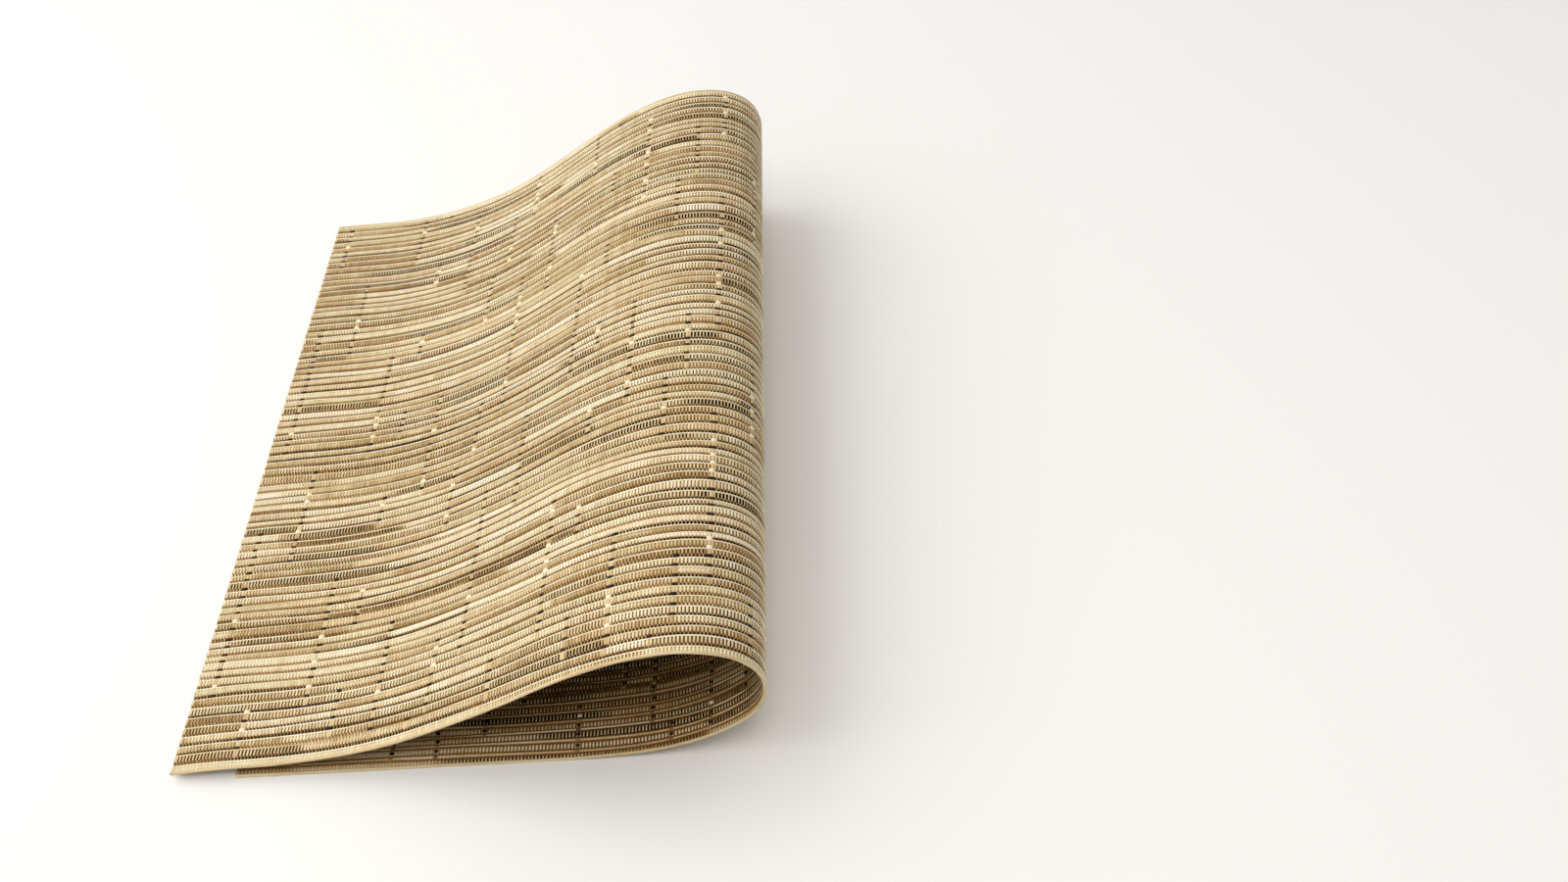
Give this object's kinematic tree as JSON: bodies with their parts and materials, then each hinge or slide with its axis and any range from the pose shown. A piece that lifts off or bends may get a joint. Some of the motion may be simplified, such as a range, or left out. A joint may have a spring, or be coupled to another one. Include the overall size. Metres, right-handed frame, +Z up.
{
  "type": "woven bamboo-look placemat",
  "caption": "Rectangular woven vinyl placemat with a bamboo look, softly folded over: the upper layer rises into a wide loop above the flat lower layer.",
  "frame": {"origin": "middle of the footprint, on the surface that the mat lies on", "axes": "+X from the free ends to the fold, +Y from the front cut edge to the back one, +Z up"},
  "size_m": [0.2169, 0.301, 0.0681],
  "materials": {
    "woven_vinyl": "satin woven vinyl yarn, cream, tan and brown"
  },
  "bodies": {
    "root": {"mat": "woven_vinyl"}
  },
  "joints": []
}
